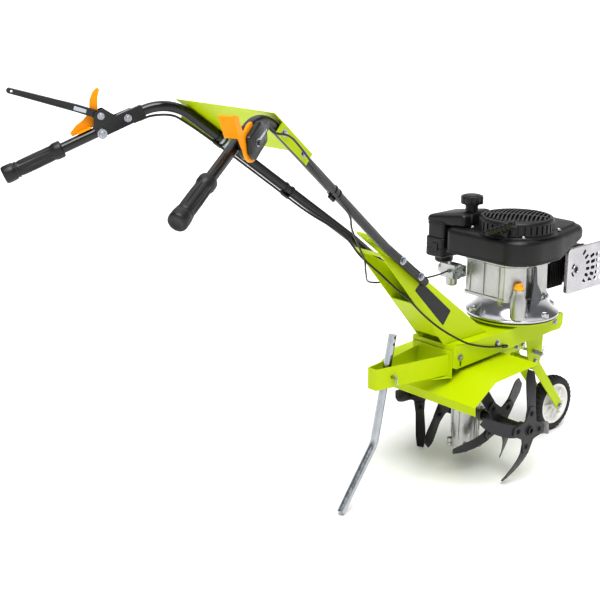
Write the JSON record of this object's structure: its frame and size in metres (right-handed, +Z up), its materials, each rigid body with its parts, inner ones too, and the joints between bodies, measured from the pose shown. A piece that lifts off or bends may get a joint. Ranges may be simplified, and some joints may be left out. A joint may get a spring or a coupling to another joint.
{
  "type": "walk-behind motor tiller",
  "caption": "Walk-behind garden tiller with a belt and worm drive to sickle-blade tine stars, a folding front transport wheel, a rear drag bar and black tube handlebars.",
  "frame": {"origin": "bottom centre of the whole machine's bounding box, on the ground", "axes": "+X forward, from the grips towards the front wheel; +Y the machine's left; +Z up"},
  "size_m": [1.5926, 0.6264, 1.0478],
  "materials": {
    "lime_paint": "satin",
    "zinc_steel": "satin",
    "cast_aluminium": "satin",
    "dark_steel": "satin",
    "tine_paint": "matte",
    "black_rubber": "matte",
    "tyre_rubber": "matte",
    "white_plastic": "satin",
    "black_plastic": "satin",
    "orange_plastic": "satin",
    "black_paint": "gloss"
  },
  "bodies": {
    "frame": {"air_filter_box": "black_plastic", "belt_cover": "lime_paint", "brace_plate": "lime_paint", "carburettor": "cast_aluminium", "clutch_bracket": "black_paint", "clutch_cable": "black_rubber", "cowl": "black_plastic", "crankcase": "cast_aluminium", "cylinder": "dark_steel", "deck": "lime_paint", "drag_bracket": "lime_paint", "drag_pin": "zinc_steel", "drive_belt": "black_rubber", "engine_mount_ring": "lime_paint", "engine_sump": "cast_aluminium", "fuel_tank": "black_plastic", "gearbox_bottom_cover": "cast_aluminium", "gearbox_housing": "cast_aluminium", "grip_left": "black_rubber", "grip_right": "black_rubber", "handle_column": "lime_paint", "handlebar_left": "black_paint", "handlebar_right": "black_paint", "muffler": "dark_steel", "muffler_guard": "zinc_steel", "recoil_cover": "black_plastic", "spark_plug": "black_plastic", "throttle_cable": "black_rubber", "throttle_housing": "black_plastic", "tine_guard": "lime_paint", "wheel_bracket": "lime_paint", "wheel_latch_pin": "zinc_steel"},
    "tines": {"tine_axle": "dark_steel", "worm_wheel": "dark_steel", "rotor_outer_left": "tine_paint", "rotor_outer_right": "tine_paint", "rotor_inner_left": "tine_paint", "rotor_inner_right": "tine_paint"},
    "worm": {"worm_shaft": "dark_steel", "driven_pulley": "dark_steel"},
    "crank": {"crankshaft": "dark_steel", "drive_pulley": "dark_steel", "flywheel": "dark_steel"},
    "idler_link": {"idler_arm": "zinc_steel"},
    "idler_roller": {"idler_pulley": "dark_steel"},
    "clutch_handle": {"clutch_lever": "black_paint"},
    "clutch_latch": {"clutch_lock": "orange_plastic"},
    "throttle": {"throttle_lever": "orange_plastic"},
    "fork": {"wheel_fork": "lime_paint", "wheel_axle_bolt": "zinc_steel"},
    "front_wheel": {"tyre": "tyre_rubber", "wheel_hub": "white_plastic"},
    "depth_bar": {"drag_bar": "zinc_steel"},
    "starter": {"starter_grip": "black_plastic", "starter_rope": "black_rubber"},
    "reel": {"recoil_reel": "black_plastic"},
    "fuel_lid": {"fuel_cap": "black_plastic"},
    "oil_lid": {"oil_cap": "orange_plastic"}
  },
  "joints": [
    {"name": "tine_spin", "type": "hinge", "parent": "frame", "child": "tines", "pos_m": [0.3604, 0, 0.146], "axis": [0, 1, 0], "continuous": true},
    {"name": "worm_spin", "type": "hinge", "parent": "frame", "child": "worm", "pos_m": [0.3244, 0, 0.146], "axis": [0, 0, 1], "continuous": true},
    {"name": "crank_spin", "type": "hinge", "parent": "frame", "child": "crank", "pos_m": [0.5054, 0, 0.45], "axis": [0, 0, 1], "continuous": true},
    {"name": "idler_arm_hinge", "type": "hinge", "parent": "frame", "child": "idler_link", "pos_m": [0.4654, -0.052, 0.353], "axis": [0, 0, 1], "range_deg": [-9.1, 0]},
    {"name": "idler_spin", "type": "hinge", "parent": "idler_link", "child": "idler_roller", "pos_m": [0.4154, -0.0545, 0.353], "axis": [0, 0, 1], "continuous": true},
    {"name": "clutch_lever_hinge", "type": "hinge", "parent": "frame", "child": "clutch_handle", "pos_m": [-0.61055, 0.21164, 0.98488], "axis": [-0.4425, -0.8968, 0], "range_deg": [0, 38], "stiffness_Nm_per_rad": 1.5, "springref_deg": -28.65},
    {"name": "clutch_lock_hinge", "type": "hinge", "parent": "frame", "child": "clutch_latch", "pos_m": [-0.62138, 0.21699, 0.99277], "axis": [0.4425, 0.8968, 0], "range_deg": [0, 4]},
    {"name": "throttle_hinge", "type": "hinge", "parent": "frame", "child": "throttle", "pos_m": [-0.55567, -0.21132, 0.9712], "axis": [0.4425, -0.8968, 0], "range_deg": [-45, 12]},
    {"name": "fork_hinge", "type": "hinge", "parent": "frame", "child": "fork", "pos_m": [0.5704, 0, 0.245], "axis": [0, 1, 0], "range_deg": [0, 30]},
    {"name": "wheel_spin", "type": "hinge", "parent": "fork", "child": "front_wheel", "pos_m": [0.7054, 0, 0.08], "axis": [0, 1, 0], "continuous": true},
    {"name": "drag_bar_slide", "type": "slide", "parent": "frame", "child": "depth_bar", "axis": [0.209, 0, 0.9779], "range_m": [-0.045, 0]},
    {"name": "starter_pull", "type": "slide", "parent": "frame", "child": "starter", "axis": [-1, 0, 0], "range_m": [0, 0.16]},
    {"name": "reel_spin", "type": "hinge", "parent": "frame", "child": "reel", "pos_m": [0.5054, 0, 0.632], "axis": [0, 0, 1], "range_deg": [-245, 0]},
    {"name": "fuel_cap_lift", "type": "slide", "parent": "frame", "child": "fuel_lid", "axis": [0, 0, 1], "range_m": [0, 0.04]},
    {"name": "oil_cap_lift", "type": "slide", "parent": "frame", "child": "oil_lid", "axis": [0, 0, 1], "range_m": [0, 0.03]}
  ],
  "couplings": [
    {"joint": "worm_spin", "follows": "tine_spin", "ratio": -20},
    {"joint": "idler_arm_hinge", "follows": "clutch_lever_hinge", "ratio": -0.235},
    {"joint": "reel_spin", "follows": "starter_pull", "rad_per_m": -26.2}
  ]
}
